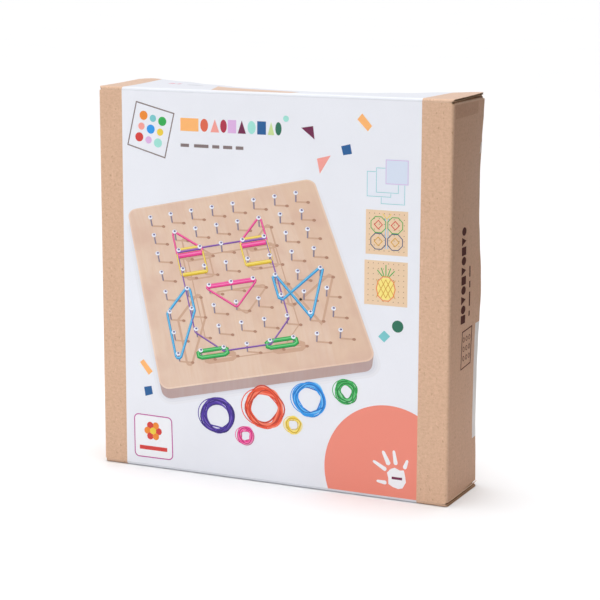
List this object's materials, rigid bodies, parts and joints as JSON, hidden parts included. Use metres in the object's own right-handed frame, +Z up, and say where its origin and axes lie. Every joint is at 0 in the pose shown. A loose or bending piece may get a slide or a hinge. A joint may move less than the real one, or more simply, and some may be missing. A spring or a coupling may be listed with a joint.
{
  "type": "boxed geoboard set",
  "caption": "Tuck-end printed carton holding a wooden peg board with rubber bands stretched over its pins, loose bands, pattern cards, a divider and spacers.",
  "frame": {"origin": "centre of the closed carton's footprint, on the surface it stands on", "axes": "+X to the right of the printed front, +Y from the printed front to the plain back, +Z up"},
  "size_m": [0.273, 0.063, 0.28],
  "materials": {
    "kraft": "brown kraft corrugated board, uncoated, flexo printed",
    "grey_board": "unprinted grey paperboard",
    "beech": "pale beech, sanded, clear matt varnish",
    "pin_steel": "bright nickel-plated domed pins",
    "card": "printed coated card",
    "rubber_purple": "matt natural rubber, purple",
    "rubber_pink": "matt natural rubber, pink",
    "rubber_yellow": "matt natural rubber, yellow",
    "rubber_blue": "matt natural rubber, blue",
    "rubber_green": "matt natural rubber, green",
    "rubber_orange": "matt natural rubber, orange-red"
  },
  "bodies": {
    "carton": {"front_panel": "kraft", "back_panel": "kraft", "left_side_panel": "kraft", "right_side_panel": "kraft", "glue_flap": "kraft", "inlay_divider": "grey_board", "edge_spacer_left": "grey_board", "edge_spacer_right": "grey_board", "band_bundle_purple": "rubber_purple", "band_bundle_orange": "rubber_orange", "band_bundle_blue": "rubber_blue", "band_bundle_green": "rubber_green", "band_bundle_pink": "rubber_pink", "band_bundle_yellow": "rubber_yellow"},
    "lid": {"lid_panel": "kraft"},
    "lid_tuck": {"top_tuck_flap": "kraft"},
    "top_left_dust": {"top_left_dust_flap": "kraft"},
    "top_right_dust": {"top_right_dust_flap": "kraft"},
    "base": {"bottom_panel": "kraft"},
    "base_tuck": {"bottom_tuck_flap": "kraft"},
    "bottom_left_dust": {"bottom_left_dust_flap": "kraft"},
    "bottom_right_dust": {"bottom_right_dust_flap": "kraft"},
    "board": {"wooden_board": "beech", "pin_row_1": "pin_steel", "pin_row_2": "pin_steel", "pin_row_3": "pin_steel", "pin_row_4": "pin_steel", "pin_row_5": "pin_steel", "pin_row_6": "pin_steel", "pin_row_7": "pin_steel", "pin_row_8": "pin_steel", "body_band_purple": "rubber_purple", "ear_band_left_pink": "rubber_pink", "ear_band_right_pink": "rubber_pink", "eye_band_left_yellow": "rubber_yellow", "eye_band_right_yellow": "rubber_yellow", "beak_band_pink": "rubber_pink", "wing_band_left_blue": "rubber_blue", "wing_band_right_blue": "rubber_blue", "foot_band_left_green": "rubber_green", "foot_band_right_green": "rubber_green"},
    "cards": {"pattern_card_1": "card", "pattern_card_2": "card", "pattern_card_3": "card", "pattern_card_4": "card"}
  },
  "joints": [
    {"name": "board_lift", "type": "slide", "parent": "carton", "child": "board", "axis": [0, 0, 1], "range_m": [0, 0.094]},
    {"name": "lid_open", "type": "hinge", "parent": "carton", "child": "lid", "pos_m": [0, -0.0315, 0.27835], "axis": [1, 0, 0], "range_deg": [0, 180]},
    {"name": "lid_tuck_relax", "type": "hinge", "parent": "lid", "child": "lid_tuck", "pos_m": [0, 0.0296, 0.27835], "axis": [1, 0, 0], "range_deg": [0, 22]},
    {"name": "top_left_dust_open", "type": "hinge", "parent": "carton", "child": "top_left_dust", "pos_m": [-0.1365, 0, 0.27655], "axis": [0, -1, 0], "range_deg": [0, 90]},
    {"name": "top_right_dust_open", "type": "hinge", "parent": "carton", "child": "top_right_dust", "pos_m": [0.1365, 0, 0.27655], "axis": [0, 1, 0], "range_deg": [0, 90]},
    {"name": "cards_lift", "type": "slide", "parent": "carton", "child": "cards", "axis": [0, 0, 1], "range_m": [0, 0.1225]},
    {"name": "base_open", "type": "hinge", "parent": "carton", "child": "base", "pos_m": [0, -0.0315, 0.00165], "axis": [-1, 0, 0], "range_deg": [0, 180]},
    {"name": "base_tuck_relax", "type": "hinge", "parent": "base", "child": "base_tuck", "pos_m": [0, 0.0296, 0.00165], "axis": [-1, 0, 0], "range_deg": [0, 22]},
    {"name": "bottom_left_dust_open", "type": "hinge", "parent": "carton", "child": "bottom_left_dust", "pos_m": [-0.1365, 0, 0.00345], "axis": [0, 1, 0], "range_deg": [0, 90]},
    {"name": "bottom_right_dust_open", "type": "hinge", "parent": "carton", "child": "bottom_right_dust", "pos_m": [0.1365, 0, 0.00345], "axis": [0, -1, 0], "range_deg": [0, 90]}
  ],
  "couplings": [
    {"joint": "lid_open", "follows": "board_lift", "rad_per_m": 33.3},
    {"joint": "lid_tuck_relax", "follows": "board_lift", "rad_per_m": 4},
    {"joint": "top_left_dust_open", "follows": "board_lift", "rad_per_m": 16.65},
    {"joint": "top_right_dust_open", "follows": "board_lift", "rad_per_m": 16.65},
    {"joint": "cards_lift", "follows": "board_lift", "ratio": 1.3},
    {"joint": "base_tuck_relax", "follows": "base_open", "ratio": 0.12},
    {"joint": "bottom_left_dust_open", "follows": "base_open", "ratio": 0.5},
    {"joint": "bottom_right_dust_open", "follows": "base_open", "ratio": 0.5}
  ]
}
